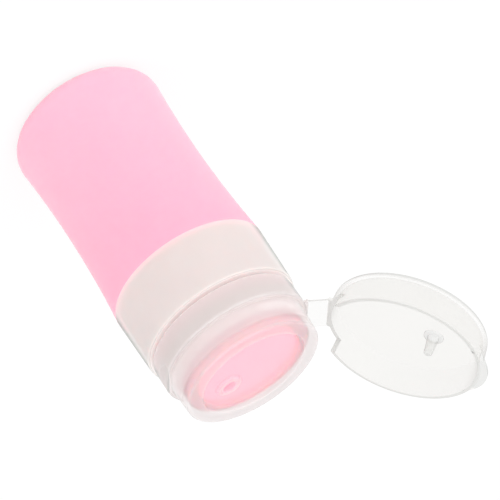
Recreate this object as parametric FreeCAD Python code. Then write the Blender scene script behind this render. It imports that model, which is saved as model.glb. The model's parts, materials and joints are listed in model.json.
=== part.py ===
import FreeCAD, Part
import math
import os

# Travel squeeze bottle, standing on its base with the flip lid swung open.
# The origin is the centre of the base, +Z is the bottle's axis and +X points to the lid's hinge.
# All lengths are in millimetres, all angles in degrees.

# Squeeze body of soft silicone, up to the ledge that carries the collar
body_radius = 21.5
base_flare = 0.4
waist_depth = 1.15
waist_height = 32.1
body_height = 59.4
base_corner = 5.0
body_wall = 1.8
base_wall = 2.2
base_inside_corner = 3.2
ledge_slope = 3.0
crown_round = 3.0
crown_inside_round = 1.2

# Soft neck that passes through the collar and folds over its top as a lip
mouth_radius = 13.9
throat_wall = 1.5
lip_thickness = 1.8
lip_round = 0.5
soft_fit = 0.1

# Rigid collar with the neck that the cap screws on
collar_height = 16.3
collar_wall = 1.4
collar_draft = 0.6
collar_edge = 0.8
web_thickness = 1.4
neck_height = 10.1
neck_wall = 1.5

# Washer pressed between the soft lip and the cap
washer_thickness = 1.2
washer_room = 0.3

# Screw cap: skirt, shoulder, land that the lid closes over, and sunk deck
cap_reveal = 0.9
cap_skirt_height = 6.8
thread_room = 1.2
cap_wall = 2.0
cap_edge = 0.4
shoulder_wall = 1.0
land_wall = 1.3
land_draft = 0.4
land_round = 0.7
deck_thickness = 1.3
rim_height = 1.4
rim_width = 4.0
rim_slope = 0.5

# Dispensing nozzle on the deck and the lid's plug pin above it
outlet_offset = 6.5
outlet_side = 2.0
nozzle_wall = 1.3
nozzle_height = 0.8
nozzle_flare = 0.5
nozzle_mouth = 0.3
pin_radius = 1.5
pin_tip_radius = 1.05
pin_length = 5.6
pin_nose = 0.35
pin_foot_width = 1.1
pin_foot_height = 0.5
outlet_room = 0.3

# Thumb scoop in the front of the cap, below the lid's lip
scoop_radius = 4.5
scoop_depth = 1.0
scoop_drop = 0.8

# Flip lid: plate with a thin drafted skirt and a thumb lip at the front
lid_room = 0.6
lid_seat = 0.3
lid_wall = 1.0
lid_plate = 1.1
lid_draft = 0.6
lid_corner = 1.3
lid_inner_corner = 0.6
lip_reach = 1.7
lip_rise = 3.4
lip_edge = 0.7
lip_hollow_shares = (0.25, 0.5)
lip_span_radius = 11.5

# Strap between cap and lid, with a thin hinge line at each end
strap_width = 12.0
strap_thickness = 0.4
strap_room = 0.15
hinge_bead = 0.3
hinge_room = 0.06
hinge_drop = 0.2
hinge_rise = 4.1
ledge_height = 0.8
notch_room = 4.6

# Swing of both hinge lines from the closed lid to the lid as it stands open
open_angle = 64.87

# How far a cutting tool runs past the face that it cuts
overrun = 1.0

# How close a circle must lie to a named place to count as the edge there
edge_match = 0.001

# Most of the flat beside an edge that a fillet may take up
fillet_share = 0.9

# Heights, each stacked on the piece below
collar_top = body_height + collar_height
web_underside = collar_top - web_thickness
neck_top = collar_top + neck_height
lip_top = neck_top + lip_thickness
deck_underside = lip_top + washer_thickness
deck_floor = deck_underside + deck_thickness
deck_rim = deck_floor + rim_height
nozzle_top = deck_floor + nozzle_height
cap_bottom = collar_top + cap_reveal
shoulder = cap_bottom + cap_skirt_height
lid_rim = shoulder + lid_seat
lid_ceiling = deck_rim + lid_seat
lid_top = lid_ceiling + lid_plate

# Radii of the squeeze body, and those of the neck, cap and lid, built outwards from the mouth
base_radius = body_radius + base_flare
waist_radius = body_radius - waist_depth
sleeve_radius = body_radius - collar_wall - soft_fit
throat_radius = mouth_radius + throat_wall
neck_bore = throat_radius + soft_fit
neck_radius = neck_bore + neck_wall
thread_bore = neck_radius + thread_room
cap_radius = thread_bore + cap_wall
land_bore = neck_radius + washer_room
land_top_radius = land_bore + land_wall
land_foot_radius = land_top_radius + land_draft
recess_radius = land_top_radius - rim_width - land_round
lid_bore = land_foot_radius + lid_room
lid_radius = lid_bore + lid_wall
outlet_radius = pin_radius + outlet_room
nozzle_radius = outlet_radius + nozzle_wall

# Hinge lines with the lid closed, the strap standing upright between them
hinge_reach = cap_radius + strap_room + strap_thickness / 2
cap_hinge_height = shoulder - hinge_drop
lid_hinge_height = lid_rim + hinge_rise
seat_radius = hinge_bead + hinge_room
half_strap = strap_width / 2

centre = FreeCAD.Vector(0, 0, 0)
up = FreeCAD.Vector(0, 0, 1)
across = FreeCAD.Vector(0, 1, 0)


def at(radius, height):
    return FreeCAD.Vector(radius, 0, height)


def run(*points):
    """Straight edges through the points, in order."""
    return [Part.makeLine(first, second) for first, second in zip(points, points[1:])]


def bow(start, middle, end):
    """Round edge from start to end that passes through middle."""
    return Part.Arc(start, middle, end).toShape()


def turned(edges):
    """Solid made by turning a closed outline once round the axis."""
    return Part.Face(Part.Wire(edges)).revolve(centre, up, 360)


def turned_block(*points):
    return turned(run(*points, points[0]))


def across_bar(radius, reach, height, length):
    """Round bar along Y, centred on the XZ plane."""
    return Part.makeCylinder(radius, length, FreeCAD.Vector(reach, -length / 2, height), across)


def across_slab(length, *points):
    """Outline in the XZ plane, extruded along Y to both sides of it."""
    face = Part.Face(Part.makePolygon([*points, points[0]]))
    face.translate(across * (-length / 2))
    return face.extrude(across * length)


def rounded(solid, size, *rings):
    """Fillet the circular edges that lie at the given (radius, height) places."""
    chosen = []
    for edge in solid.Edges:
        if edge.Curve.TypeId != "Part::GeomCircle":
            continue
        place = edge.Curve.Center.z
        for radius, height in rings:
            same_radius = math.isclose(edge.Curve.Radius, radius, abs_tol=edge_match)
            if same_radius and math.isclose(place, height, abs_tol=edge_match):
                chosen.append(edge)
    return solid.makeFillet(size, chosen)


def fitting(size, *flats):
    """Fillet size, held back where a flat beside the edge is too narrow for it."""
    return min(size, *(flat * fillet_share for flat in flats))


def swung(shape, reach, height, angle):
    """Copy of a shape turned about a hinge line along Y."""
    copy = shape.copy()
    copy.rotate(at(reach, height), across, angle)
    return copy


def silicone_body():
    """Waisted bottle with one wall all round, necked in under the collar and lipped over it."""
    inner_foot = base_radius - body_wall
    inner_waist = waist_radius - body_wall
    inner_top = body_radius - body_wall
    inner_sleeve = sleeve_radius - body_wall
    crown_inside = web_underside - body_wall
    slope_foot = body_height - ledge_slope / 2
    slope_head = body_height + ledge_slope / 2
    outside = [
        *run(at(0, 0), at(base_radius, 0)),
        bow(at(base_radius, 0), at(waist_radius, waist_height), at(body_radius, body_height)),
        *run(
            at(body_radius, body_height),
            at(sleeve_radius, body_height),
            at(sleeve_radius, web_underside),
            at(throat_radius, web_underside),
            at(throat_radius, neck_top),
            at(neck_radius, neck_top),
            at(neck_radius, lip_top),
            at(mouth_radius, lip_top),
        ),
    ]
    inside = [
        *run(
            at(mouth_radius, lip_top),
            at(mouth_radius, crown_inside),
            at(inner_sleeve, crown_inside),
            at(inner_sleeve, slope_head),
            at(inner_top, slope_foot),
        ),
        bow(at(inner_top, slope_foot), at(inner_waist, waist_height), at(inner_foot, base_wall)),
        *run(at(inner_foot, base_wall), at(0, base_wall), at(0, 0)),
    ]
    crown_fillet = fitting(crown_round, sleeve_radius - throat_radius, web_underside - body_height)
    inside_flats = (inner_sleeve - mouth_radius, crown_inside - slope_head)
    crown_inside_fillet = fitting(crown_inside_round, *inside_flats)
    body = turned(outside + inside)
    body = rounded(body, base_corner, (base_radius, 0))
    body = rounded(body, base_inside_corner, (inner_foot, base_wall))
    body = rounded(body, crown_fillet, (sleeve_radius, web_underside))
    body = rounded(body, crown_inside_fillet, (inner_sleeve, crown_inside))
    return rounded(body, lip_round, (neck_radius, lip_top), (mouth_radius, lip_top))


def neck_collar():
    """Band that grips the soft body, with a flat web and the neck that carries the thread."""
    sleeve_bore = sleeve_radius + soft_fit
    top_radius = body_radius - collar_draft
    collar = turned_block(
        at(body_radius, body_height),
        at(top_radius, collar_top),
        at(neck_radius, collar_top),
        at(neck_radius, neck_top),
        at(neck_bore, neck_top),
        at(neck_bore, web_underside),
        at(sleeve_bore, web_underside),
        at(sleeve_bore, body_height),
    )
    edge_fillet = fitting(collar_edge, top_radius - neck_radius, collar_height)
    return rounded(collar, edge_fillet, (top_radius, collar_top))


def sealing_washer():
    return turned_block(
        at(mouth_radius, lip_top),
        at(neck_radius, lip_top),
        at(neck_radius, deck_underside),
        at(mouth_radius, deck_underside),
    )


def hinge_ledge(height, rise, bore):
    """Thin ledge outside a round wall, so that the hinge line along its edge can be straight."""
    root = math.sqrt(bore ** 2 - half_strap ** 2)
    ledge_end = height + rise * ledge_height
    return across_slab(
        strap_width,
        at(root, height),
        at(hinge_reach, height),
        at(hinge_reach, ledge_end),
        at(root, ledge_end),
    )


def on_outlet(solid):
    """Move a solid that was turned on the bottle's axis to the outlet's axis."""
    solid.translate(FreeCAD.Vector(-outlet_offset, -outlet_side, 0))
    return solid


def nozzle():
    """Low boss that stands on the deck round the outlet."""
    return on_outlet(
        turned_block(
            at(0, deck_floor),
            at(nozzle_radius + nozzle_flare, deck_floor),
            at(nozzle_radius, nozzle_top),
            at(0, nozzle_top),
        )
    )


def outlet():
    """Hole through deck and nozzle, opened out at its mouth to lead the plug pin in."""
    mouth_radius_at_top = outlet_radius + nozzle_mouth
    return on_outlet(
        turned_block(
            at(0, deck_underside - overrun),
            at(outlet_radius, deck_underside - overrun),
            at(outlet_radius, nozzle_top - nozzle_mouth),
            at(mouth_radius_at_top, nozzle_top),
            at(mouth_radius_at_top, nozzle_top + overrun),
            at(0, nozzle_top + overrun),
        )
    )


def cap_base():
    """Screw cap with its sunk deck, off-centre nozzle, thumb scoop and hinge ledge."""
    bore_end = shoulder - shoulder_wall
    cone_start = bore_end - (thread_bore - land_bore)
    shell = turned_block(
        at(cap_radius, cap_bottom),
        at(cap_radius, shoulder),
        at(land_foot_radius, shoulder),
        at(land_top_radius, deck_rim),
        at(recess_radius + rim_slope, deck_rim),
        at(recess_radius, deck_floor),
        at(0, deck_floor),
        at(0, deck_underside),
        at(land_bore, deck_underside),
        at(land_bore, bore_end),
        at(thread_bore, cone_start),
        at(thread_bore, cap_bottom),
    )
    shell = rounded(shell, land_round, (land_top_radius, deck_rim))
    shell = rounded(shell, cap_edge, (cap_radius, cap_bottom), (cap_radius, shoulder))

    bore = Part.makeCylinder(thread_bore, shoulder, centre, up)
    ledge = hinge_ledge(cap_hinge_height, -1, thread_bore).cut(bore)
    ledge_seat = across_bar(seat_radius, hinge_reach, cap_hinge_height, strap_width + overrun)
    shell = shell.fuse(ledge).cut(ledge_seat)

    scoop = across_bar(
        scoop_radius,
        scoop_depth - cap_radius - scoop_radius,
        shoulder - scoop_drop,
        cap_radius,
    )
    scoop_limit = Part.makeCylinder(land_foot_radius, lid_top, centre, up)
    shell = shell.cut(scoop.cut(scoop_limit))

    return shell.fuse(nozzle()).cut(outlet()).removeSplitter()


def hinge_strap():
    """Thin strap, drawn with the lid closed, that ends in a bead on each hinge line."""
    strap = Part.makeBox(
        strap_thickness,
        strap_width,
        lid_hinge_height - cap_hinge_height,
        FreeCAD.Vector(hinge_reach - strap_thickness / 2, -half_strap, cap_hinge_height),
    )
    for height in (cap_hinge_height, lid_hinge_height):
        strap = strap.fuse(across_bar(hinge_bead, hinge_reach, height, strap_width))
    return strap.removeSplitter()


def thumb_lip():
    """Crescent that flares out of the lid's skirt at the front, hollow above for a fingertip."""
    tip = lid_radius + lip_reach
    top = lid_rim + lip_rise
    skirt_there = lid_radius - lid_draft * lip_rise / (lid_top - lid_rim)
    reach_share, rise_share = lip_hollow_shares
    hollow_middle = at(lid_radius + lip_reach * reach_share, lid_rim + lip_rise * rise_share)
    flare = turned(
        [
            *run(at(lid_bore, top), at(lid_bore, lid_rim), at(tip, lid_rim), at(tip, lid_rim + lip_edge)),
            bow(at(tip, lid_rim + lip_edge), hollow_middle, at(skirt_there, top)),
            *run(at(skirt_there, top), at(lid_bore, top)),
        ]
    )
    span_foot = at(lip_span_radius - tip, lid_rim - overrun)
    span = Part.makeCylinder(lip_span_radius, lip_rise + 2 * overrun, span_foot, up)
    return flare.common(span)


def plug_pin():
    """Tapered pin on a low foot, turned on the outlet's own axis under the lid."""
    tip = lid_ceiling - pin_length
    root = lid_ceiling + lid_plate / 2
    foot_end = lid_ceiling - pin_foot_height
    return on_outlet(
        turned_block(
            at(0, root),
            at(pin_radius + pin_foot_width, root),
            at(pin_radius + pin_foot_width, foot_end),
            at(pin_radius, foot_end),
            at(pin_tip_radius, tip + pin_nose),
            at(pin_tip_radius - pin_nose, tip),
            at(0, tip),
        )
    )


def flip_lid():
    """Shallow lid, drawn closed: plate, skirt notched at the hinge, thumb lip and plug pin."""
    top_radius = lid_radius - lid_draft
    ceiling_radius = lid_bore - lid_draft
    hollow = turned_block(
        at(0, lid_rim - overrun),
        at(lid_bore, lid_rim - overrun),
        at(lid_bore, lid_rim),
        at(ceiling_radius, lid_ceiling),
        at(0, lid_ceiling),
    )
    hollow = rounded(hollow, lid_inner_corner, (ceiling_radius, lid_ceiling))
    lid = turned_block(
        at(0, lid_rim),
        at(lid_radius, lid_rim),
        at(top_radius, lid_top),
        at(0, lid_top),
    )
    lid = rounded(lid, lid_corner, (top_radius, lid_top))
    lid = lid.fuse([thumb_lip(), hinge_ledge(lid_hinge_height, 1, lid_bore)])
    lid = lid.cut(hollow)

    notch_half = half_strap + notch_room
    notch = Part.makeBox(
        hinge_reach + overrun,
        2 * notch_half,
        lid_hinge_height - lid_rim + overrun,
        FreeCAD.Vector(0, -notch_half, lid_rim - overrun),
    )
    seat = across_bar(seat_radius, hinge_reach, lid_hinge_height, strap_width + overrun)
    return lid.cut(notch).cut(seat).fuse(plug_pin()).removeSplitter()


def main():
    strap = swung(hinge_strap(), hinge_reach, cap_hinge_height, open_angle)
    lid = swung(flip_lid(), hinge_reach, lid_hinge_height, open_angle)
    lid = swung(lid, hinge_reach, cap_hinge_height, open_angle)
    pieces = {
        "silicone_body": silicone_body(),
        "neck_collar": neck_collar(),
        "sealing_washer": sealing_washer(),
        "cap_base": cap_base(),
        "hinge_strap": strap,
        "flip_lid": lid,
    }
    os.makedirs("parts", exist_ok=True)
    for name, shape in pieces.items():
        shape.exportStep(os.path.join("parts", name + ".step"))
        print(name, "solids", len(shape.Solids), "valid", shape.isValid(), "volume", round(shape.Volume, 1))


main()
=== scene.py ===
import json
import math

import bmesh
import bpy
from mathutils import Matrix, Vector


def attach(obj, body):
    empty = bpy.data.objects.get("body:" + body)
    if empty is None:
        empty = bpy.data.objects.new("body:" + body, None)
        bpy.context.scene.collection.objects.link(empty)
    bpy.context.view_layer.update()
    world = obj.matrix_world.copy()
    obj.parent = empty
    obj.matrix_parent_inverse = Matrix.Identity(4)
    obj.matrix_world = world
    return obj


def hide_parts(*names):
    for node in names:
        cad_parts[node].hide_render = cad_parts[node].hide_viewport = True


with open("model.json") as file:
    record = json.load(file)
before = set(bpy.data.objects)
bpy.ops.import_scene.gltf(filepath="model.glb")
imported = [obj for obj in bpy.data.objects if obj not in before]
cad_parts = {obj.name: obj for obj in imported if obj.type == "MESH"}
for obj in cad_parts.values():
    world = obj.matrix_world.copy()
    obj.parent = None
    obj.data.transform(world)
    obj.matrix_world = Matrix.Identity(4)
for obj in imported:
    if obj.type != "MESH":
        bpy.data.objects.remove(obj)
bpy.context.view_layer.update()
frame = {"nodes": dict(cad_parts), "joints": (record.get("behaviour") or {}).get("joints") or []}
joints = {joint["name"]: joint for joint in frame["joints"]}
print("frame loaded with", len(frame["nodes"]), "CAD nodes")

# Pieces are modelled in millimetres, standing on the base with the lid closed, and scaled once at the end
mm = 0.001
turnSteps = 96
cornerSteps = 6
barSteps = 32
mergeDistance = 0.0005
veilBlend = 0.1
upAxis = Vector((0, 0, 1))
acrossAxis = Vector((0, 1, 0))


# Helpers for turned shapes

def bowThrough(start, middle, end, count):
    # points on the circle through three (radius, height) places, ends left out
    a, b, c = (Vector(place) for place in (start, middle, end))
    chordB, chordC = b - a, c - a
    cross = 2 * (chordB.x * chordC.y - chordB.y * chordC.x)
    centre = a + Vector((
        (chordC.y * chordB.length_squared - chordB.y * chordC.length_squared) / cross,
        (chordB.x * chordC.length_squared - chordC.x * chordB.length_squared) / cross,
    ))
    first, last = a - centre, c - centre
    sweep = first.angle_signed(last)
    turns = (Matrix.Rotation(-sweep * step / (count + 1), 2) for step in range(1, count + 1))
    return [tuple(centre + turn @ first) for turn in turns]


def drawProfile(bm, corners, closed=True):
    # a corner is (radius, height), or (radius, height, rounding)
    verts = [bm.verts.new((corner[0], 0, corner[1])) for corner in corners]
    following = verts[1:] + verts[:1] if closed else verts[1:]
    for vert, after in zip(verts, following):
        bm.edges.new((vert, after))
    for vert, corner in zip(verts, corners):
        if len(corner) > 2:
            bmesh.ops.bevel(bm, geom=[vert], offset=corner[2], offset_type="OFFSET", affect="VERTICES",
                            segments=cornerSteps, profile=0.5, material=-1)


def turned(corners, closed=True, axisAt=(0, 0), steps=turnSteps):
    bm = bmesh.new()
    drawProfile(bm, corners, closed)
    bmesh.ops.spin(bm, geom=bm.verts[:] + bm.edges[:], cent=(0, 0, 0), axis=upAxis,
                   angle=math.tau, steps=steps, use_merge=True)
    bmesh.ops.remove_doubles(bm, verts=bm.verts, dist=mergeDistance)
    bmesh.ops.recalc_face_normals(bm, faces=bm.faces)
    bmesh.ops.translate(bm, vec=(*axisAt, 0), verts=bm.verts)
    return bm


def turnedRod(radius, low, high):
    return turned([(0, low), (radius, low), (radius, high), (0, high)], closed=False)


def acrossSlab(corners, width):
    # outline in the XZ plane, drawn out along Y to both sides of it
    bm = bmesh.new()
    verts = [bm.verts.new((x, -width / 2, z)) for x, z in corners]
    face = bm.faces.new(verts)
    drawn = bmesh.ops.extrude_face_region(bm, geom=[face])
    moved = [item for item in drawn["geom"] if isinstance(item, bmesh.types.BMVert)]
    bmesh.ops.translate(bm, vec=(0, width, 0), verts=moved)
    bmesh.ops.recalc_face_normals(bm, faces=bm.faces)
    return bm


def acrossBar(radius, x, z, width, steps=barSteps):
    bm = bmesh.new()
    lay = Matrix.Translation((x, 0, z)) @ Matrix.Rotation(math.pi / 2, 4, "X")
    bmesh.ops.create_cone(bm, cap_ends=True, segments=steps, radius1=radius, radius2=radius,
                          depth=width, matrix=lay)
    return bm


def looseObject(bm):
    mesh = bpy.data.meshes.new("loose")
    bm.to_mesh(mesh)
    bm.free()
    made = bpy.data.objects.new("loose", mesh)
    bpy.context.scene.collection.objects.link(made)
    return made


def combined(bm, tool, operation):
    # DIFFERENCE, UNION or INTERSECT of two closed shapes
    base, other = looseObject(bm), looseObject(tool)
    step = base.modifiers.new("combine", "BOOLEAN")
    step.operation = operation
    step.solver = "EXACT"
    step.object = other
    found = base.evaluated_get(bpy.context.evaluated_depsgraph_get())
    result = bmesh.new()
    result.from_mesh(found.to_mesh())
    found.to_mesh_clear()
    for spent in (base, other):
        mesh = spent.data
        bpy.data.objects.remove(spent)
        bpy.data.meshes.remove(mesh)
    return result


def swungOpen(bm, *hinges):
    # each hinge is ((x, y, z), degrees) about a line along Y
    for place, degrees in hinges:
        bmesh.ops.rotate(bm, cent=place, matrix=Matrix.Rotation(math.radians(degrees), 3, acrossAxis),
                         verts=bm.verts)


def finishMesh(bm, name, materials, smoothDegrees=18):
    bmesh.ops.scale(bm, vec=(mm, mm, mm), verts=bm.verts)
    mesh = bpy.data.meshes.new(name)
    bm.to_mesh(mesh)
    bm.free()
    mesh.shade_smooth()
    mesh.set_sharp_from_angle(angle=math.radians(smoothDegrees))
    for material in materials:
        mesh.materials.append(material)
    piece = bpy.data.objects.new(name, mesh)
    bpy.context.scene.collection.objects.link(piece)
    return piece


def finishPiece(bm, name, materials, body, slot, *replaced):
    piece = finishMesh(bm, name, materials)
    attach(piece, body)
    if replaced:
        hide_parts(*replaced)
    print("made", name, "with", len(piece.data.polygons), "faces")


# Materials: one shared group gives every moulded skin its drift of tone and its fine grain

def mouldedSkinGroup():
    group = bpy.data.node_groups.new("mouldedSkin", "ShaderNodeTree")
    for socketName in ("Drift Scale", "Grain Scale"):
        group.interface.new_socket(socketName, in_out="INPUT", socket_type="NodeSocketFloat")
    for socketName in ("Tone", "Grain"):
        group.interface.new_socket(socketName, in_out="OUTPUT", socket_type="NodeSocketFloat")
    entry = group.nodes.new("NodeGroupInput")
    leave = group.nodes.new("NodeGroupOutput")
    place = group.nodes.new("ShaderNodeTexCoord")
    for scaleName, output, detail in (("Drift Scale", "Tone", 3), ("Grain Scale", "Grain", 5)):
        noise = group.nodes.new("ShaderNodeTexNoise")
        noise.inputs["Detail"].default_value = detail
        group.links.new(place.outputs["Object"], noise.inputs["Vector"])
        group.links.new(entry.outputs[scaleName], noise.inputs["Scale"])
        group.links.new(noise.outputs["Fac"], leave.inputs[output])
    return group


mouldedSkin = mouldedSkinGroup()


def ranged(tree, value, source=(0, 1), target=(0, 1)):
    # a value passed from one span of numbers to another
    remap = tree.nodes.new("ShaderNodeMapRange")
    remap.inputs["From Min"].default_value, remap.inputs["From Max"].default_value = source
    remap.inputs["To Min"].default_value, remap.inputs["To Max"].default_value = target
    tree.links.new(value, remap.inputs["Value"])
    return remap.outputs["Result"]


def joinedValues(tree, operation, first, second):
    maths = tree.nodes.new("ShaderNodeMath")
    maths.operation = operation
    tree.links.new(first, maths.inputs[0])
    tree.links.new(second, maths.inputs[1])
    return maths.outputs["Value"]


def heightShare(tree, heights, lowShare):
    # lowShare below the first height, fading to nothing at the second
    place = tree.nodes.new("ShaderNodeTexCoord")
    apart = tree.nodes.new("ShaderNodeSeparateXYZ")
    tree.links.new(place.outputs["Object"], apart.inputs["Vector"])
    return ranged(tree, apart.outputs["Z"], [height * mm for height in heights], (lowShare, 0))


def mixedTint(tree, share, colour, second):
    # the colour passes into the second tint as the share rises to 1
    mix = tree.nodes.new("ShaderNodeMix")
    mix.data_type = "RGBA"
    mix.inputs["B"].default_value = (*second, 1)
    tree.links.new(share, mix.inputs["Factor"])
    tree.links.new(colour, mix.inputs["A"])
    return mix.outputs["Result"]


def milkyVeil(tree, veil, colour):
    # thin translucent walls: clearer seen straight on, denser where they turn away, and greyer there with
    # painted shade along the outline
    weight = tree.nodes.new("ShaderNodeLayerWeight")
    weight.inputs["Blend"].default_value = veilBlend
    facing = ranged(tree, weight.outputs["Facing"], source=veil["turned"])
    density = ranged(tree, facing, target=veil["cover"])
    if "frosted" in veil:
        frost = heightShare(tree, veil["frosted"]["heights"], veil["frosted"]["cover"])
        density = joinedValues(tree, "MAXIMUM", density, frost)
    # a wall is veiled once, where light enters it, and is clear from within
    geometry = tree.nodes.new("ShaderNodeNewGeometry")
    outside = ranged(tree, geometry.outputs["Backfacing"], target=(1, 0))
    alpha = joinedValues(tree, "MULTIPLY", density, outside)
    tree.links.new(alpha, tree.nodes["Principled BSDF"].inputs["Alpha"])
    return mixedTint(tree, facing, colour, veil["paintedEdgeShade"])


def mouldedMaterial(look):
    material = bpy.data.materials.new(look["name"])
    material.use_nodes = True
    tree = material.node_tree
    shader = tree.nodes["Principled BSDF"]
    skin = tree.nodes.new("ShaderNodeGroup")
    skin.node_tree = mouldedSkin
    skin.inputs["Drift Scale"].default_value = look["driftScale"]
    skin.inputs["Grain Scale"].default_value = look["grainScale"]

    tint = tree.nodes.new("ShaderNodeMix")
    tint.data_type = "RGBA"
    tint.inputs["A"].default_value = (*look["tint"], 1)
    tint.inputs["B"].default_value = (*look["deepTint"], 1)
    tree.links.new(skin.outputs["Tone"], tint.inputs["Factor"])
    colour = tint.outputs["Result"]
    if "paintedLowLight" in look:
        # another tint low down, which passes into the first one higher up: painted light low on the piece
        lowShare = heightShare(tree, look["paintedLowLight"]["heights"], 1)
        colour = mixedTint(tree, lowShare, colour, look["paintedLowLight"]["tint"])
    if "veil" in look:
        colour = milkyVeil(tree, look["veil"], colour)
    tree.links.new(colour, shader.inputs["Base Color"])

    gloss = ranged(tree, skin.outputs["Tone"], target=look["roughness"])
    tree.links.new(gloss, shader.inputs["Roughness"])

    bump = tree.nodes.new("ShaderNodeBump")
    bump.inputs["Strength"].default_value = look["grainStrength"]
    bump.inputs["Distance"].default_value = look["grainDepth"] * mm
    tree.links.new(skin.outputs["Grain"], bump.inputs["Height"])
    tree.links.new(bump.outputs["Normal"], shader.inputs["Normal"])

    for socketName, value in look["sockets"].items():
        shader.inputs[socketName].default_value = value
    return material


siliconeLook = {
    "name": "pinkSilicone",
    "tint": (0.98, 0.465, 0.57),
    "deepTint": (0.97, 0.43, 0.54),
    # painted light: the body is paler towards its base
    "paintedLowLight": {"heights": (0.0, 62.0), "tint": (0.985, 0.515, 0.608)},
    "driftScale": 35,
    "grainScale": 2600,
    "grainStrength": 0.25,
    "grainDepth": 0.05,
    "roughness": (0.42, 0.52),
    "sockets": {
        "Subsurface Weight": 1.0,
        "Subsurface Radius": (1.0, 0.55, 0.65),
        "Subsurface Scale": 0.006,
        "IOR": 1.41,
        "Specular IOR Level": 0.35,
    },
}
pinkSilicone = mouldedMaterial(siliconeLook)

# The inside of the bottle, and the ledge under the collar, carry a painted glow that stands in for light
# coming through the thin wall
paintedGlowSockets = {"Emission Color": (1.0, 0.46, 0.57, 1), "Emission Strength": 0.42}
pinkInsidePaintedGlow = mouldedMaterial({
    **siliconeLook, "name": "pinkInsidePaintedGlow", "sockets": {**siliconeLook["sockets"], **paintedGlowSockets},
})

frostedLook = {
    "name": "frostedPlastic",
    "tint": (0.76, 0.725, 0.7),
    "deepTint": (0.73, 0.695, 0.67),
    "driftScale": 60,
    "grainScale": 1800,
    "grainStrength": 0.2,
    "grainDepth": 0.04,
    "roughness": (0.34, 0.44),
    # the edge shade paints a grey outline on the collar
    "veil": {"turned": (0.23, 0.34), "cover": (0.9, 0.97), "paintedEdgeShade": (0.36, 0.37, 0.35)},
    "sockets": {
        "Subsurface Weight": 1.0,
        "Subsurface Radius": (1.0, 0.95, 0.9),
        "Subsurface Scale": 0.002,
        "IOR": 1.49,
        "Specular IOR Level": 0.4,
    },
}
frostedPlastic = mouldedMaterial(frostedLook)

# The neck under the milky cap, and the foot of the collar, carry a faint painted glow too, which lightens the
# shade in the gap under the cap and at the seam with the body
neckPaintedGlow = {"Emission Color": (0.94, 0.88, 0.9, 1), "Emission Strength": 0.26}
frostedNeckPaintedGlow = mouldedMaterial({
    **frostedLook, "name": "frostedNeckPaintedGlow", "sockets": {**frostedLook["sockets"], **neckPaintedGlow},
})

# Lid and strap. Their cut edges, thick corner, pin and thumb lip take greyer copies of the plastic with
# painted shade, standing in for the grey where light runs along the wall there
clearLook = {
    "name": "clearPlastic",
    "tint": (0.77, 0.75, 0.7),
    "deepTint": (0.74, 0.72, 0.67),
    "driftScale": 80,
    "grainScale": 900,
    "grainStrength": 0.12,
    "grainDepth": 0.03,
    "roughness": (0.36, 0.46),
    "veil": {"turned": (0.14, 0.4), "cover": (0.55, 0.9), "paintedEdgeShade": (0.5, 0.48, 0.46)},
    "sockets": {
        "Transmission Weight": 0.9,
        "IOR": 1.49,
    },
}
clearPlastic = mouldedMaterial(clearLook)
# greyer copy: painted shade on the cut edges
cutEdgePaintedShade = mouldedMaterial({
    **clearLook, "name": "cutEdgePaintedShade", "tint": (0.64, 0.64, 0.62), "deepTint": (0.61, 0.61, 0.59),
    "veil": {"turned": (0.2, 0.5), "cover": (0.85, 0.95), "paintedEdgeShade": (0.62, 0.62, 0.61)},
    "sockets": {"IOR": 1.49},
})
# darker copy: painted shade in the thick corner
thickCornerPaintedShade = mouldedMaterial({
    **clearLook, "name": "thickCornerPaintedShade", "tint": (0.5, 0.5, 0.48), "deepTint": (0.47, 0.47, 0.45),
    "veil": {"turned": (0.1, 0.35), "cover": (0.55, 0.95), "paintedEdgeShade": (0.44, 0.44, 0.43)},
    "sockets": {"IOR": 1.49},
})
# greyer copy: painted shade on the pin and the thumb lip
plugPaintedShade = mouldedMaterial({
    **clearLook, "name": "plugPaintedShade", "tint": (0.6, 0.6, 0.58), "deepTint": (0.57, 0.57, 0.55),
    "veil": {"turned": (0.08, 0.3), "cover": (0.4, 0.92), "paintedEdgeShade": (0.46, 0.46, 0.45)},
    "sockets": {"IOR": 1.49},
})
# paler, clearer copy: painted light on the outside of the skirt
clearSkirtPaintedLight = mouldedMaterial({
    **clearLook, "name": "clearSkirtPaintedLight", "tint": (0.8, 0.76, 0.7), "deepTint": (0.77, 0.73, 0.67),
    "veil": {"turned": (0.14, 0.4), "cover": (0.15, 0.9), "paintedEdgeShade": (0.5, 0.48, 0.46)},
})
hingeFilm = mouldedMaterial({
    **clearLook, "name": "hingeFilm",
    "veil": {"turned": (0.25, 0.6), "cover": (0.25, 0.5), "paintedEdgeShade": (0.6, 0.59, 0.58)},
})

# Screw cap: its plastic looks milky over the pink. Zones of it take copies with painted light and shade:
# darker ones on the rim, skirt and shoulder, a lighter one in the corner at the land's foot
milkyLook = {
    "name": "milkyPlastic",
    "tint": (0.78, 0.7, 0.695),
    "deepTint": (0.75, 0.67, 0.665),
    "driftScale": 80,
    "grainScale": 2600,
    "grainStrength": 0.06,
    "grainDepth": 0.03,
    "roughness": (0.3, 0.38),
    "veil": {"turned": (0.16, 0.36), "cover": (0.5, 0.9), "paintedEdgeShade": (0.6, 0.57, 0.565),
             "frosted": {"heights": (88.5, 91.0), "cover": 0.76}},
    "sockets": {
        "Subsurface Weight": 1.0,
        "Subsurface Radius": (1.0, 0.98, 0.95),
        "Subsurface Scale": 0.004,
        "IOR": 1.49,
    },
}
milkyPlastic = mouldedMaterial(milkyLook)
# the edge shade paints a grey outline on the cap's skirt
skirtVeil = {"turned": (0.23, 0.34), "cover": (0.93, 0.96), "paintedEdgeShade": (0.42, 0.41, 0.4)}
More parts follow.
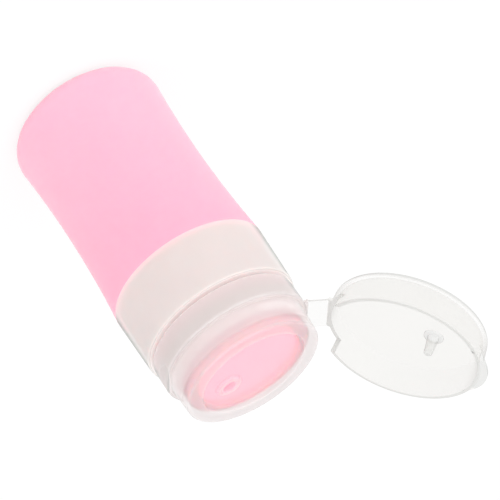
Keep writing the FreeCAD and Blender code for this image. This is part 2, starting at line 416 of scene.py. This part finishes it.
# darker copy: painted shade on the skirt
milkySkirtPaintedShade = mouldedMaterial({
    **milkyLook, "name": "milkySkirtPaintedShade", "tint": (0.63, 0.578, 0.568), "deepTint": (0.605, 0.553, 0.543),
    # painted pink light on the skirt near its foot, next to the pink body
    "paintedLowLight": {"heights": (77.4, 81.0), "tint": (0.67, 0.575, 0.575)},
    "veil": skirtVeil,
})
# darker copy: painted shade on the shoulder ledge, which dulls the light along its edge
milkyShoulderPaintedShade = mouldedMaterial({
    **milkyLook, "name": "milkyShoulderPaintedShade", "tint": (0.62, 0.568, 0.563), "deepTint": (0.6, 0.548, 0.543),
    "veil": skirtVeil,
})
# lighter copy: painted light that lifts the shade in the corner at the land's foot
milkyCornerPaintedLight = mouldedMaterial({
    **milkyLook, "name": "milkyCornerPaintedLight", "tint": (0.73, 0.665, 0.66), "deepTint": (0.71, 0.645, 0.64),
    "veil": {**skirtVeil, "paintedEdgeShade": (0.7, 0.65, 0.64)},
})
# darker copy: painted shade on the rim and the deck wall
milkyRimPaintedShade = mouldedMaterial({
    **milkyLook, "name": "milkyRimPaintedShade", "tint": (0.64, 0.58, 0.58), "deepTint": (0.61, 0.55, 0.55),
    "veil": {"turned": (0.14, 0.35), "cover": (0.66, 0.85), "paintedEdgeShade": (0.53, 0.5, 0.5)},
})

# Washer, which shows through the cap as part of the pink; its faint emission is a painted glow
washerSiliconePaintedGlow = mouldedMaterial({
    "name": "washerSiliconePaintedGlow",
    "tint": (0.96, 0.55, 0.63),
    "deepTint": (0.94, 0.51, 0.59),
    "driftScale": 90,
    "grainScale": 2400,
    "grainStrength": 0.2,
    "grainDepth": 0.03,
    "roughness": (0.5, 0.6),
    "sockets": {"Subsurface Weight": 0.6, "Subsurface Scale": 0.002, "IOR": 1.41,
                "Emission Color": (1.0, 0.4, 0.52, 1), "Emission Strength": 0.15},
})
print("materials ready")


# Squeeze body of soft silicone

softBody = {
    "radius": 21.5, "baseRadius": 21.9, "waistRadius": 20.35, "waistHeight": 32.1, "height": 59.4,
    "wall": 1.8, "baseWall": 2.2, "baseRound": 5.0, "baseInsideRound": 3.2, "shoulderRound": 0.02,
    "sleeveRadius": 20.0, "crownHeight": 74.3, "crownRound": 3.0, "crownInsideRound": 1.2,
    "throatRadius": 15.4, "mouthRadius": 13.9, "neckTop": 85.8, "lipRadius": 17.0, "lipTop": 87.6,
    "lipRound": 0.5, "slope": 3.0, "waistPoints": 18,
    "roundClear": 1.1, "inwardTurn": -0.1, "levelTurn": 0.5,  # the turns are limits on a face's normal
}


def softBodyProfile(s):
    wall = s["wall"]
    insideTop = (s["radius"] - wall, s["height"] - s["slope"] / 2)
    insideWaist = (s["waistRadius"] - wall, s["waistHeight"])
    insideFoot = (s["baseRadius"] - wall, s["baseWall"])
    insideSleeve = s["sleeveRadius"] - wall
    foot = (s["baseRadius"], 0)
    waist = (s["waistRadius"], s["waistHeight"])
    shoulder = (s["radius"], s["height"])
    outsideBow = bowThrough(foot, waist, shoulder, s["waistPoints"])
    insideBow = bowThrough(insideTop, insideWaist, insideFoot, s["waistPoints"])
    outsideStart = s["baseRound"] * s["roundClear"]
    insideStart = s["baseWall"] + s["baseInsideRound"] * s["roundClear"]
    return [
        (0, 0), (*foot, s["baseRound"]),
        *[p for p in outsideBow if p[1] > outsideStart],
        (*shoulder, s["shoulderRound"]),
        (s["sleeveRadius"], s["height"]),
        (s["sleeveRadius"], s["crownHeight"], s["crownRound"]),
        (s["throatRadius"], s["crownHeight"]), (s["throatRadius"], s["neckTop"]),
        (s["lipRadius"], s["neckTop"]), (s["lipRadius"], s["lipTop"], s["lipRound"]),
        (s["mouthRadius"], s["lipTop"], s["lipRound"]),
        (s["mouthRadius"], s["crownHeight"] - wall),
        (insideSleeve, s["crownHeight"] - wall, s["crownInsideRound"]),
        (insideSleeve, s["height"] + s["slope"] / 2), insideTop,
        *[p for p in insideBow if p[1] > insideStart],
        (*insideFoot, s["baseInsideRound"]), (0, s["baseWall"]),
    ]


def markInside(bm, s):
    # faces that look at the cavity, and the ledge under the collar, take the second material with its painted
    # glow
    for face in bm.faces:
        middle = face.calc_center_median()
        outward = Vector((middle.x, middle.y, 0)).normalized().dot(face.normal)
        level = face.normal.z > s["levelTurn"]
        onFloor = level and middle.z < s["height"] / 2
        underCollar = level and abs(middle.z - s["height"]) < s["shoulderRound"]
        if outward < s["inwardTurn"] or onFloor or underCollar:
            face.material_index = 1


softShell = turned(softBodyProfile(softBody), closed=False)
markInside(softShell, softBody)
finishPiece(softShell, "siliconeBody", [pinkSilicone, pinkInsidePaintedGlow], "bottle", "soft_silicone", "silicone_body")


# Rigid collar with its threaded neck

collar = {
    "radius": 21.5, "topRadius": 20.9, "bottom": 59.4, "top": 75.7, "edgeRound": 0.5, "footRound": 0.02,
    "bore": 20.1, "webUnderside": 74.3, "neckRadius": 17.0, "neckBore": 15.5, "neckTop": 85.8,
    "seam": 0.01, "neckRoom": 2.0, "footTurn": -0.7,
}
thread = {
    "pitch": 3.0, "turns": 2.2, "depth": 0.75, "sunk": 0.25, "width": 1.5, "crest": 0.5,
    "start": 77.6, "steps": 72,
}


def collarProfile(s):
    bottom, neckTop = s["bottom"] + s["seam"], s["neckTop"] - s["seam"]
    web = s["webUnderside"] + s["seam"]
    return [
        (s["radius"], bottom, s["footRound"]), (s["topRadius"], s["top"], s["edgeRound"]),
        (s["neckRadius"], s["top"], s["footRound"]), (s["neckRadius"], neckTop, s["footRound"]),
        (s["neckBore"], neckTop), (s["neckBore"], web), (s["bore"], web), (s["bore"], bottom),
    ]


def threadRidge(s, rootRadius, outward, start):
    # a trapezoid wound up the neck; outward is 1 on the neck and -1 inside the cap
    bm = bmesh.new()
    crestRadius = rootRadius + outward * s["depth"]
    halfFoot, halfCrest = s["width"] / 2, s["crest"] / 2
    sunk = rootRadius - outward * s["sunk"]
    section = [(sunk, -halfFoot), (rootRadius, -halfFoot), (crestRadius, -halfCrest),
               (crestRadius, halfCrest), (rootRadius, halfFoot), (sunk, halfFoot)]
    verts = [bm.verts.new((radius, 0, start + height)) for radius, height in section]
    face = bm.faces.new(verts)
    steps = round(s["steps"] * s["turns"])
    bmesh.ops.spin(bm, geom=[face, *face.edges, *verts], cent=(0, 0, 0), axis=upAxis,
                   dvec=(0, 0, s["pitch"] * s["turns"] / steps), angle=math.tau * s["turns"], steps=steps)
    if not any(set(other.verts) == set(verts) for other in bm.faces):
        bm.faces.new(verts)
    bmesh.ops.recalc_face_normals(bm, faces=bm.faces)
    return bm


def markNeck(bm, s):
    # the neck and the foot that sits on the soft body take the second material with its faint painted glow
    for face in bm.faces:
        middle = face.calc_center_median()
        reach = Vector(middle.xy).length
        onNeck = middle.z > s["top"] - s["footRound"] and reach < s["neckRadius"] + s["neckRoom"]
        onFoot = face.normal.z < s["footTurn"] and middle.z < s["bottom"] + s["footRound"] + s["seam"]
        if onNeck or onFoot:
            face.material_index = 1


collarShell = turned(collarProfile(collar))
markNeck(collarShell, collar)
finishPiece(collarShell, "neckCollar", [frostedPlastic, frostedNeckPaintedGlow], "bottle", "frosted_plastic",
            "neck_collar")
finishPiece(threadRidge(thread, collar["neckRadius"], 1, thread["start"]), "neckThread", [frostedNeckPaintedGlow],
            "bottle", "frosted_plastic")


# Washer between the soft lip and the cap

washer = {"inner": 13.9, "outer": 17.0, "bottom": 87.6, "top": 88.8, "round": 0.25, "seam": 0.04}


def washerProfile(s):
    low, high = s["bottom"] + s["seam"], s["top"] - s["seam"]
    return [(radius, height, s["round"]) for radius, height in (
        (s["inner"], low), (s["outer"], low), (s["outer"], high), (s["inner"], high))]


finishPiece(turned(washerProfile(washer)), "sealingWasher", [washerSiliconePaintedGlow], "washer", "washer_silicone",
            "sealing_washer")


# Hinge lines and the swing of the strap and the lid, as the frame gives them

hinge = {
    "cap": Vector(joints["strap_hinge"]["pos_m"]) / mm,
    "lidAtRest": Vector(joints["lid_hinge"]["pos_m"]) / mm,
    "openDegrees": -joints["strap_hinge"]["range_deg"][0],
    "ledgeHeight": 0.8, "bead": 0.3, "room": 0.06, "strapWidth": 12.0, "strapThickness": 0.4,
    "seatOverrun": 1.0, "sideTurn": 0.7,
}
hinge["strapLength"] = (hinge["lidAtRest"] - hinge["cap"]).length
hinge["lid"] = hinge["cap"] + upAxis * hinge["strapLength"]
strapSwing = (hinge["cap"], hinge["openDegrees"])
lidSwing = (hinge["lid"], hinge["openDegrees"])


def hingeLedge(place, rise, bore):
    # thin ledge outside the round wall, so that the hinge line along its edge is straight
    root = math.sqrt(bore ** 2 - (hinge["strapWidth"] / 2) ** 2)
    end = place.z + rise * hinge["ledgeHeight"]
    return acrossSlab([(root, place.z), (place.x, place.z), (place.x, end), (root, end)], hinge["strapWidth"])


def hingeSeat(place):
    # groove that the strap's bead turns in
    width = hinge["strapWidth"] + hinge["seatOverrun"]
    return acrossBar(hinge["bead"] + hinge["room"], place.x, place.z, width)


# Screw cap with its sunk deck, nozzle, thumb scoop and hinge ledge

cap = {
    "radius": 20.2, "bottom": 76.6, "shoulder": 83.4, "landFoot": 19.0, "landTop": 18.6, "deckRim": 91.5,
    "recessTop": 14.4, "recess": 13.9, "deckFloor": 90.1, "deckUnderside": 88.8, "landBore": 17.3,
    "boreEnd": 82.4, "coneStart": 81.5, "threadBore": 18.2, "edge": 0.4, "shoulderEdge": 0.6,
    "landRound": 0.7, "landFillet": 0.55, "deckFillet": 0.9, "softEdge": 0.25,
    "outletAt": (-6.5, -2.0), "nozzleFoot": 3.6, "nozzleRadius": 3.1, "nozzleTop": 90.9, "nozzleRound": 0.3,
    "outletMouth": 2.1, "mouthDepth": 0.3, "outletRadius": 1.8,
    "scoopRadius": 4.5, "scoopDepth": 1.0, "scoopDrop": 0.8, "scoopSteps": 64, "seam": 0.02,
    "cornerTurn": 0.05, "shoulderTurn": 0.25,
}
capPlainAndPaintedTones = [milkyPlastic, milkyRimPaintedShade, milkySkirtPaintedShade, milkyShoulderPaintedShade, milkyCornerPaintedLight]


def capShell(s):
    shell = turned([
        (s["recess"] - 2 * s["deckFillet"], s["deckFloor"]), (s["recess"], s["deckFloor"], s["deckFillet"]),
        (s["recessTop"], s["deckRim"], s["softEdge"]),
        (s["landTop"], s["deckRim"], s["landRound"]), (s["landFoot"], s["shoulder"], s["landFillet"]),
        (s["radius"], s["shoulder"], s["shoulderEdge"]), (s["radius"], s["bottom"], s["edge"]),
        (s["threadBore"], s["bottom"], s["softEdge"]), (s["threadBore"], s["coneStart"]),
        (s["landBore"], s["boreEnd"]), (s["landBore"], s["deckUnderside"]),
    ], closed=False)
    nozzle = turned([
        (s["nozzleFoot"], s["deckFloor"]), (s["nozzleRadius"], s["nozzleTop"], s["nozzleRound"]),
        (s["outletMouth"], s["nozzleTop"]), (s["outletRadius"], s["nozzleTop"] - s["mouthDepth"]),
        (s["outletRadius"], s["deckUnderside"]),
    ], closed=False, axisAt=s["outletAt"])
    joined = bpy.data.meshes.new("loose")
    nozzle.to_mesh(joined)
    nozzle.free()
    shell.from_mesh(joined)
    bpy.data.meshes.remove(joined)
    for height in (s["deckFloor"], s["deckUnderside"]):
        rim = [edge for edge in shell.edges if edge.is_boundary and
               all(abs(vert.co.z - height) < s["seam"] for vert in edge.verts)]
        bmesh.ops.bridge_loops(shell, edges=rim)
    bmesh.ops.recalc_face_normals(shell, faces=shell.faces)
    return shell


def markCap(bm, s):
    # each zone of the cap gets its material: copies with painted shade on the rim, deck wall, shoulder and
    # skirt, and one with painted light in the corner
    for face in bm.faces:
        middle = face.calc_center_median()
        reach = Vector(middle.xy).length
        onRim = middle.z > s["deckRim"] - s["landRound"]
        onDeckWall = middle.z > s["deckFloor"] + s["seam"] and s["recess"] < reach < s["recessTop"]
        onSkirt = middle.z < s["shoulder"] + s["seam"] and reach > s["landFoot"]
        besideLand = s["landFoot"] - s["seam"] < reach < s["landFoot"] + s["landFillet"] + s["seam"]
        atShoulder = abs(middle.z - s["shoulder"]) < s["landFillet"]
        zoneMaterial = milkyPlastic
        if onRim or onDeckWall:
            zoneMaterial = milkyRimPaintedShade
        elif besideLand and atShoulder and face.normal.z > s["cornerTurn"]:
            zoneMaterial = milkyCornerPaintedLight
        elif onSkirt and face.normal.z > s["shoulderTurn"]:
            zoneMaterial = milkyShoulderPaintedShade
        elif onSkirt:
            zoneMaterial = milkySkirtPaintedShade
        face.material_index = capPlainAndPaintedTones.index(zoneMaterial)


def capBase(s):
    shell = capShell(s)
    bore = turnedRod(s["threadBore"], 0, s["shoulder"])
    ledge = combined(hingeLedge(hinge["cap"], -1, s["threadBore"]), bore, "DIFFERENCE")
    shell = combined(shell, ledge, "UNION")
    shell = combined(shell, hingeSeat(hinge["cap"]), "DIFFERENCE")
    scoopAt = Vector((s["scoopDepth"] - s["radius"] - s["scoopRadius"], s["shoulder"] - s["scoopDrop"]))
    scoop = acrossBar(s["scoopRadius"], *scoopAt, s["radius"], s["scoopSteps"])
    core = turnedRod(s["landFoot"], s["bottom"], s["deckRim"])
    scoop = combined(scoop, core, "DIFFERENCE")
    shell = combined(shell, scoop, "DIFFERENCE")
    markCap(shell, s)
    return shell


finishPiece(capBase(cap), "capBase", capPlainAndPaintedTones, "cap", "clear_plastic", "cap_base")
capThreadStart = thread["start"] + thread["pitch"] / 2
finishPiece(threadRidge(thread, cap["threadBore"], -1, capThreadStart), "capThread", [milkyPlastic],
            "cap", "clear_plastic")


# Flip lid, drawn closed and then swung to where it stands open

lid = {
    "rim": 83.7, "ceiling": 91.8, "top": 92.9, "bore": 19.6, "radius": 20.6, "draft": 0.6, "corner": 1.3,
    "innerCorner": 0.6, "rimRound": 0.2, "lipReach": 1.7, "lipRise": 3.4, "lipEdge": 0.7, "lipSpan": 11.5,
    "lipHollow": (0.25, 0.5), "lipSpanDepth": 13.6, "notchRoom": 4.6, "overrun": 1.0,
    "pinAt": (-6.5, -2.0), "pinRadius": 1.5, "pinTip": 1.05, "pinLength": 5.6, "pinNose": 0.35,
    "pinFoot": 2.6, "pinFootHeight": 0.5, "pinFootRound": 0.2, "pinSteps": 48,
    "near": 0.1, "notchNear": 0.05, "lipStart": 0.15, "rimTurn": -0.3, "hingeTurn": -0.7,
    "cornerTurns": (0.1, 0.95), "pinTurn": 0.5, "sideTurn": 0.8, "uprightTurn": 0.1,
}
lidPlainAndPaintedTones = [clearPlastic, cutEdgePaintedShade, thickCornerPaintedShade, clearSkirtPaintedLight, plugPaintedShade]


def lidHollow(s):
    return turned([
        (0, s["rim"] - s["overrun"]), (s["bore"], s["rim"] - s["overrun"]), (s["bore"], s["rim"]),
        (s["bore"] - s["draft"], s["ceiling"], s["innerCorner"]), (0, s["ceiling"]),
    ], closed=False)


def thumbLip(s):
    tip, top = s["radius"] + s["lipReach"], s["rim"] + s["lipRise"]
    edge = (tip, s["rim"] + s["lipEdge"])
    wall = (s["radius"] - s["draft"] * s["lipRise"] / (s["top"] - s["rim"]), top)
    reachShare, riseShare = s["lipHollow"]
    hollow = (s["radius"] + s["lipReach"] * reachShare, s["rim"] + s["lipRise"] * riseShare)
    flare = turned([(s["bore"], top), (s["bore"], s["rim"]), (tip, s["rim"], s["rimRound"]), edge,
                    *bowThrough(edge, hollow, wall, cornerSteps), wall])
    span = bmesh.new()
    bmesh.ops.create_cone(span, cap_ends=True, segments=turnSteps, radius1=s["lipSpan"], radius2=s["lipSpan"],
                          depth=s["lipSpanDepth"],
                          matrix=Matrix.Translation((s["lipSpan"] - tip, 0, s["rim"])))
    return combined(flare, span, "INTERSECT")


def plugPin(s):
    tip, root = s["ceiling"] - s["pinLength"], (s["ceiling"] + s["top"]) / 2
    footEnd = s["ceiling"] - s["pinFootHeight"]
    return turned([
        (0, root), (s["pinFoot"], root), (s["pinFoot"], footEnd, s["pinFootRound"]),
        (s["pinRadius"], footEnd), (s["pinTip"], tip, s["pinNose"]), (0, tip),
    ], closed=False, axisAt=s["pinAt"], steps=s["pinSteps"])


def markLid(bm, s, notchHalf):
    # cut edges, the thick corner, and the pin with the lip take greyer copies with painted shade, and the
    # skirt's outside a paler copy with painted light
    line, pinTip = hinge["lid"], s["ceiling"] - s["pinLength"]
    leastTurn, mostTurn = s["cornerTurns"]
    for face in bm.faces:
        middle, normal = face.calc_center_median(), face.normal
        reach = Vector(middle.xy).length
        onRim = middle.z < s["rim"] + s["rimRound"] and normal.z < s["rimTurn"]
        onRim = onRim and reach < s["radius"] + s["near"]
        onNotch = middle.z < line.z and abs(abs(middle.y) - notchHalf) < s["notchNear"] and middle.x > 0
        onHinge = middle.z < line.z + hinge["bead"] and normal.z < s["hingeTurn"] and middle.x > 0
        onCorner = middle.z > s["top"] - s["corner"] and leastTurn < normal.z < mostTurn
        onPin = (middle.xy - Vector(s["pinAt"])).length < s["pinFoot"] + s["near"]
        onPin = onPin and pinTip - s["near"] < middle.z < s["ceiling"] and normal.z < s["pinTurn"]
        onLip = reach > s["radius"] + s["lipStart"] and middle.x < 0
        upright = abs(normal.z) < s["uprightTurn"] and middle.z < s["ceiling"] - s["innerCorner"]
        outside = upright and Vector(middle.xy).normalized().dot(normal.xy) > s["sideTurn"]
        zoneMaterial = clearPlastic
        if onRim or onNotch or onHinge:
            zoneMaterial = cutEdgePaintedShade
        elif onCorner:
            zoneMaterial = thickCornerPaintedShade
        elif onPin or onLip:
            zoneMaterial = plugPaintedShade
        elif outside:
            zoneMaterial = clearSkirtPaintedLight
        face.material_index = lidPlainAndPaintedTones.index(zoneMaterial)


def flipLid(s):
    plateFoot = s["ceiling"] - s["innerCorner"]
    lean = s["draft"] * (plateFoot - s["rim"]) / (s["top"] - s["rim"])
    shell = turned([
        (0, s["rim"]), (s["radius"], s["rim"], s["rimRound"]), (s["radius"] - lean, plateFoot),
        (s["radius"] - s["draft"], s["top"], s["corner"]), (0, s["top"]),
    ], closed=False)
    shell = combined(shell, thumbLip(s), "UNION")
    shell = combined(shell, hingeLedge(hinge["lid"], 1, s["bore"]), "UNION")
    shell = combined(shell, lidHollow(s), "DIFFERENCE")
    notchHalf = hinge["strapWidth"] / 2 + s["notchRoom"]
    low, high = s["rim"] - s["overrun"], hinge["lid"].z
    notch = acrossSlab([(0, low), (hinge["lid"].x + s["overrun"], low),
                        (hinge["lid"].x + s["overrun"], high), (0, high)], 2 * notchHalf)
    shell = combined(shell, notch, "DIFFERENCE")
    shell = combined(shell, hingeSeat(hinge["lid"]), "DIFFERENCE")
    shell = combined(shell, plugPin(s), "UNION")
    markLid(shell, s, notchHalf)
    swungOpen(shell, lidSwing, strapSwing)
    return shell


finishPiece(flipLid(lid), "flipLid", lidPlainAndPaintedTones, "lid", "clear_plastic", "flip_lid")


# Strap between cap and lid

strapPlainAndPaintedTones = [hingeFilm, cutEdgePaintedShade]


def strapFilm():
    half = hinge["strapThickness"] / 2
    x, low, high = hinge["cap"].x, hinge["cap"].z, hinge["lid"].z
    corners = [(x - half, low), (x + half, low), (x + half, high), (x - half, high)]
    film = acrossSlab(corners, hinge["strapWidth"])
    for z in (low, high):
        film = combined(film, acrossBar(hinge["bead"], x, z, hinge["strapWidth"]), "UNION")
    for face in film.faces:
        # the cut sides take the greyer copy with painted shade
        onSide = abs(face.normal.y) > hinge["sideTurn"]
        face.material_index = strapPlainAndPaintedTones.index(cutEdgePaintedShade if onSide else hingeFilm)
    swungOpen(film, strapSwing)
    return film


finishPiece(strapFilm(), "hingeStrap", strapPlainAndPaintedTones, "strap", "clear_plastic", "hinge_strap")


# Pale floor, soft light and white surroundings

studio = {
    "floorHalf": 4.0, "floorColour": (0.95, 0.95, 0.95), "floorRoughness": 0.9, "floorGlow": 0.8,
    "worldLight": 1.04, "worldSeen": 1.0,
    "keyPlace": (0.38, 0.64, 0.58), "keySize": 1.1, "keyPower": 2.6,
    "fillPlace": (-0.4, 0.2, 0.75), "fillSize": 0.12, "fillPower": 0.6,
    "aim": (0.01, 0, 0.06),
}


def seenDirectly(tree):
    # 1 for rays from the camera and for those seen in gloss or through clear plastic
    path = tree.nodes.new("ShaderNodeLightPath")
    seen = path.outputs["Is Camera Ray"]
    for rayName in ("Is Glossy Ray", "Is Transmission Ray"):
        seen = joinedValues(tree, "MAXIMUM", seen, path.outputs[rayName])
    return seen


def paleFloor():
    bm = bmesh.new()
    bmesh.ops.create_grid(bm, x_segments=1, y_segments=1, size=studio["floorHalf"] / mm)
    material = bpy.data.materials.new("paleFloor")
    material.use_nodes = True
    tree = material.node_tree
    shader = tree.nodes["Principled BSDF"]
    shader.inputs["Base Color"].default_value = (*studio["floorColour"], 1)
    shader.inputs["Roughness"].default_value = studio["floorRoughness"]
    shader.inputs["Specular IOR Level"].default_value = 0
    glow = tree.nodes.new("ShaderNodeEmission")
    mix = tree.nodes.new("ShaderNodeMixShader")
    tree.links.new(ranged(tree, seenDirectly(tree), target=(0, studio["floorGlow"])), mix.inputs["Fac"])
    tree.links.new(shader.outputs["BSDF"], mix.inputs[1])
    tree.links.new(glow.outputs["Emission"], mix.inputs[2])
    tree.links.new(mix.outputs["Shader"], tree.nodes["Material Output"].inputs["Surface"])
    finishMesh(bm, "floor", [material])


def whiteWorld():
    world = bpy.data.worlds.new("whiteWorld")
    world.use_nodes = True
    tree = world.node_tree
    background = tree.nodes["Background"]
    strength = ranged(tree, seenDirectly(tree), target=(studio["worldLight"], studio["worldSeen"]))
    tree.links.new(strength, background.inputs["Strength"])
    background.inputs["Color"].default_value = (1, 1, 1, 1)
    bpy.context.scene.world = world


def softLamp(name):
    lamp = bpy.data.lights.new(name, "AREA")
    lamp.size = studio[name + "Size"]
    lamp.energy = studio[name + "Power"]
    holder = bpy.data.objects.new(name, lamp)
    holder.location = studio[name + "Place"]
    holder.rotation_euler = (Vector(studio["aim"]) - holder.location).to_track_quat("-Z", "Y").to_euler()
    holder.visible_transmission = False
    bpy.context.scene.collection.objects.link(holder)


paleFloor()
whiteWorld()
softLamp("key")
softLamp("fill")
print("studio ready")


# Camera where the photograph was taken from, rolled so that the base points up and to the left

view = {
    "place": (-118.793, 380.059, 283.328), "aim": (15.57, 5.636, 62.469), "rollDegrees": 144.891,
    "lens": 129.6, "sensor": 36.0, "clipStart": 0.01,
}


def photoCamera(s):
    camera = bpy.data.cameras.new("photoCamera")
    camera.lens = s["lens"]
    camera.sensor_width = s["sensor"]
    camera.clip_start = s["clipStart"]
    holder = bpy.data.objects.new("photoCamera", camera)
    place, aim = Vector(s["place"]) * mm, Vector(s["aim"]) * mm
    roll = Matrix.Rotation(math.radians(s["rollDegrees"]), 4, "Z")
    turn = (aim - place).to_track_quat("-Z", "Y").to_matrix().to_4x4()
    holder.matrix_world = Matrix.Translation(place) @ turn @ roll
    bpy.context.scene.collection.objects.link(holder)
    bpy.context.scene.camera = holder


photoCamera(view)
bpy.context.scene.view_settings.view_transform = "Standard"
print("camera ready")
